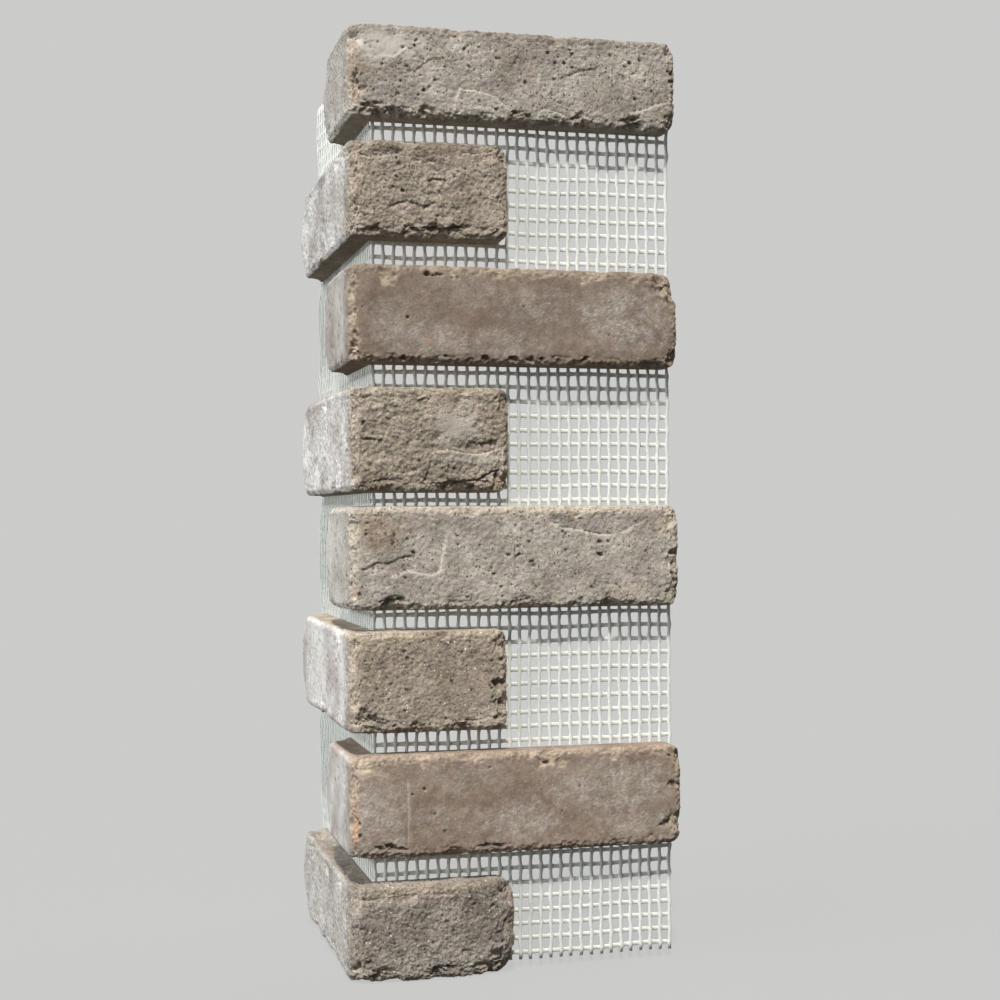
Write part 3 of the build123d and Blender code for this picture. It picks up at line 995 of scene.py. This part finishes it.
def weave_leg(settings, leg_end, bottom, top, covers, seed, flare):
    """One leg of the net on the plane of the front wall, as (points in millimetres, mesh)."""
    uprights = round((leg_end - settings.upright_width) / settings.upright_pitch) + 1
    upright_pitch = (leg_end - settings.upright_width) / (uprights - 1)
    crosses = PANELS * round((top - bottom) / PANELS / settings.cross_pitch)
    cross_pitch = (top - bottom) / crosses
    thick = settings.thickness

    through = Vector((0, thick, 0))
    rise = Vector((0, 0, top - bottom))
    upright = strand(rise, 2 * crosses, Vector((settings.upright_width, 0, 0)), through)
    first_upright = Vector((settings.upright_width / 2, -1.5 * thick, bottom))
    side_by_side = repeat(upright, first_upright, Vector((upright_pitch, 0, 0)), uprights)
    upright_mesh = to_mesh(side_by_side, "uprights")
    run = Vector((leg_end, 0, 0))
    cross = strand(run, 2 * (uprights - 1), Vector((0, 0, settings.cross_width)), through)
    first_cross = Vector((0, -0.5 * thick, bottom + cross_pitch / 2))
    cross_mesh = to_mesh(repeat(cross, first_cross, Vector((0, 0, cross_pitch)), crosses), "crosses")

    warp = read_vectors(upright_mesh.vertices, "co") / MM
    weft = read_vectors(cross_mesh.vertices, "co") / MM
    column = np.round((warp[:, 0] * MM - settings.upright_width / 2) / upright_pitch)
    row_phase = (warp[:, 2] * MM - bottom) / cross_pitch
    twist = 1 - 4 * np.abs(np.mod(row_phase / 2 + 0.25, 1.0) - 0.5)
    middle = (settings.upright_width / 2 + column * upright_pitch) / MM
    pooled = 0.94 + 0.3 * np.cos(math.pi * (row_phase - 0.5)) ** 2
    warp[:, 0] = middle + (warp[:, 0] - middle) * pooled
    warp[:, 0] += settings.zigzag / MM * twist * np.where(column % 2 == 0, 1, -1)
    own_line = np.column_stack((middle * 3, np.full(len(middle), seed), warp[:, 2]))
    warp[:, 0] += 0.35 * clay_noise(own_line, 34.0, 2)
    warp[:, 1] += 0.14 * np.cos(2 * math.pi * row_phase)
    row = np.round((weft[:, 2] * MM - bottom) / cross_pitch - 0.5)
    height = (bottom + (row + 0.5) * cross_pitch) / MM
    column_phase = (weft[:, 0] * MM - settings.upright_width / 2) / upright_pitch
    weft[:, 2] = height + (weft[:, 2] - height) * (0.96 + 0.3 * np.cos(math.pi * column_phase) ** 2)
    own_line = np.column_stack((weft[:, 0], np.full(len(row), seed), row * 40))
    weft[:, 2] += 0.35 * clay_noise(own_line, 30.0, 2)

    points = np.vstack((warp, weft))
    flat = np.column_stack((points[:, 0], np.full(len(points), seed), points[:, 2]))
    bare = bare_share(points[:, 0], points[:, 2], covers)
    sway = settings.wander / MM
    points[:, 0] += 0.7 * sway * clay_noise(flat + 300, 70.0, 2) * ramp(points[:, 0], 0, 20)
    points[:, 2] += sway * clay_noise(flat - 300, 55.0, 2)
    billow = settings.billow / MM * clay_noise(flat + 700, 45.0, 2)
    towards_edge = (points[:, 0] * MM / leg_end) ** 2
    lift = flare / MM * towards_edge * (0.7 + 0.5 * clay_noise(flat + 900, 38.0, 2))
    points[:, 1] += bare * (billow - lift) * ramp(points[:, 0], 0, 25)

    both = bmesh.new()
    both.from_mesh(upright_mesh)
    both.from_mesh(cross_mesh)
    bpy.data.meshes.remove(upright_mesh)
    bpy.data.meshes.remove(cross_mesh)
    return points, to_mesh(both, "net")


def build_net_leg(name, nodes, settings, side, seed):
    """One leg of the folded net, in place of its CAD panels."""
    lows, highs = zip(*(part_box(node) for node in nodes))
    bottom, top = min(low[2] for low in lows), max(high[2] for high in highs)
    run, out = (1, 0) if side else (0, 1)
    leg_end = max(high[run] for high in highs)
    covers = []
    for number in BRICKS:
        low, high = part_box(f"corner_brick_{number}")
        covers.append((high[run] / MM, low[2] / MM, high[2] / MM))
    points, mesh = weave_leg(settings, leg_end, bottom, top, covers, seed, settings.flare if side else 0.0)
    if side:
        points = points[:, [1, 0, 2]]
        mesh.flip_normals()
    keep_inside(mesh, points * MM)
    mesh.shade_smooth()
    piece = add_object(name, mesh)
    mesh.materials.append(coated_yarn(f"{name}_yarn", settings))
    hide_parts(*nodes)
    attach(piece, "root")


def coated_yarn(name, settings):
    """Off-white coated glass yarn, a little uneven."""
    material, tree, shader, place = new_material(name)
    uneven = blotches(tree, place, 700, 2, 0.3, 0.7, 0.9, 1.06)
    tree.links.new(cover(tree, settings.yarn, uneven, 1.0, "MULTIPLY"), shader.inputs["Base Color"])
    shader.inputs["Roughness"].default_value = 0.6
    shader.inputs["Specular IOR Level"].default_value = 0.3
    add_bump(tree, shader, noise_value(tree, place, 2200, 2), 0.3, 0.2 * MM)
    return material


class SHEET_OT_corner_bricks(Operator):
    """Tumble the eight corner bricks"""

    bl_idname = "sheet.corner_bricks"
    bl_label = "Corner bricks"

    def execute(self, context):
        for number in BRICKS:
            build_brick(number, context.scene.sheet_bricks)
        return {"FINISHED"}


class SHEET_OT_folded_net(Operator):
    """Weave both legs of the folded net"""

    bl_idname = "sheet.folded_net"
    bl_label = "Folded net"

    def execute(self, context):
        settings = context.scene.sheet_net
        numbers = range(1, PANELS + 1)
        build_net_leg("net_front", [f"net_front_{n}" for n in numbers], settings, side=False, seed=11)
        build_net_leg("net_side", [f"net_side_{n}" for n in numbers], settings, side=True, seed=57)
        return {"FINISHED"}


def seen_directly(tree):
    """1 for rays that show a surface to the camera, straight, in a gloss or through glass."""
    path = add_node(tree, "ShaderNodeLightPath")
    shown = path.outputs["Is Camera Ray"]
    for ray in ("Is Glossy Ray", "Is Transmission Ray"):
        either = ((0, shown), (1, path.outputs[ray]))
        shown = add_node(tree, "ShaderNodeMath", either, operation="MAXIMUM").outputs[0]
    return shown


def lay_floor(settings):
    """A wide plain floor, paler to the camera than to the bricks, which keeps the sheet's shadow."""
    solid = bmesh.new()
    bmesh.ops.create_grid(solid, x_segments=1, y_segments=1, size=60.0)
    floor = add_object("floor", to_mesh(solid, "floor"))
    material, tree, shader, _ = new_material("pale_floor")
    shader.inputs["Base Color"].default_value = (*settings.floor, 1.0)
    shader.inputs["Emission Color"].default_value = (*settings.floor_glow, 1.0)
    tree.links.new(seen_directly(tree), shader.inputs["Emission Strength"])
    shader.inputs["Roughness"].default_value = 1.0
    shader.inputs["Specular IOR Level"].default_value = 0.0
    floor.data.materials.append(material)


def light_world(settings):
    """Even light from all round, with a pale backdrop where it is seen."""
    world = bpy.data.worlds.new("studio")
    world.use_nodes = True
    tree = world.node_tree
    surround = cover(tree, (settings.sky,) * 3, settings.backdrop, seen_directly(tree))
    tree.links.new(surround, tree.nodes["Background"].inputs["Color"])
    bpy.context.scene.world = world


def hang_sun(name, towards, strength, softness, colour):
    """A distant lamp in the given direction from the sheet."""
    lamp = bpy.data.lights.new(name, "SUN")
    lamp.energy = strength
    lamp.angle = math.radians(softness)
    lamp.color = colour
    sun = add_object(name, lamp)
    sun.rotation_euler = Vector(towards).to_track_quat("Z", "Y").to_euler()


def aim_camera(settings):
    """The camera at the photograph's angle."""
    camera = add_object("camera", bpy.data.cameras.new("camera"))
    camera.data.sensor_width = 36.0
    camera.data.lens = settings.lens
    camera.data.clip_start = 0.01
    turn = Matrix.Rotation(-settings.yaw, 4, "Z") @ Matrix.Rotation(math.pi / 2 + settings.pitch, 4, "X")
    camera.matrix_world = Matrix.Translation(settings.eye) @ turn @ Matrix.Rotation(settings.roll, 4, "Z")
    bpy.context.scene.camera = camera


class SHEET_OT_stage(Operator):
    """Set the floor, the lights and the camera"""

    bl_idname = "sheet.stage"
    bl_label = "Stage"

    def execute(self, context):
        settings = context.scene.sheet_stage
        lay_floor(settings)
        light_world(settings)
        for name, towards, softness, colour in LAMPS:
            hang_sun(name, towards, getattr(settings, name), softness, colour)
        aim_camera(settings)
        context.scene.view_settings.view_transform = "Standard"
        return {"FINISHED"}


class SHEET_PT_sidebar(Panel):
    """The sheet's pieces and stage"""

    bl_idname = "SHEET_PT_sidebar"
    bl_label = "Corner Sheet"
    bl_space_type = "VIEW_3D"
    bl_region_type = "UI"
    bl_category = "Corner Sheet"

    def draw(self, context):
        for operator, settings in STEPS:
            self.layout.operator(operator.bl_idname)
            group = getattr(context.scene, settings)
            for name in group.__annotations__:
                self.layout.prop(group, name)


SETTINGS = {"sheet_bricks": BrickSettings, "sheet_net": NetSettings, "sheet_stage": StageSettings}
STEPS = (
    (SHEET_OT_corner_bricks, "sheet_bricks"),
    (SHEET_OT_folded_net, "sheet_net"),
    (SHEET_OT_stage, "sheet_stage"),
)
CLASSES = (*SETTINGS.values(), *(operator for operator, _ in STEPS), SHEET_PT_sidebar)


def register():
    for item in CLASSES:
        bpy.utils.register_class(item)
    for name, group in SETTINGS.items():
        setattr(bpy.types.Scene, name, PointerProperty(type=group))


def unregister():
    for name in SETTINGS:
        delattr(bpy.types.Scene, name)
    for item in reversed(CLASSES):
        bpy.utils.unregister_class(item)


def main():
    register()
    bpy.ops.sheet.corner_bricks()
    bpy.ops.sheet.folded_net()
    bpy.ops.sheet.stage()


if __name__ == "__main__":
    main()
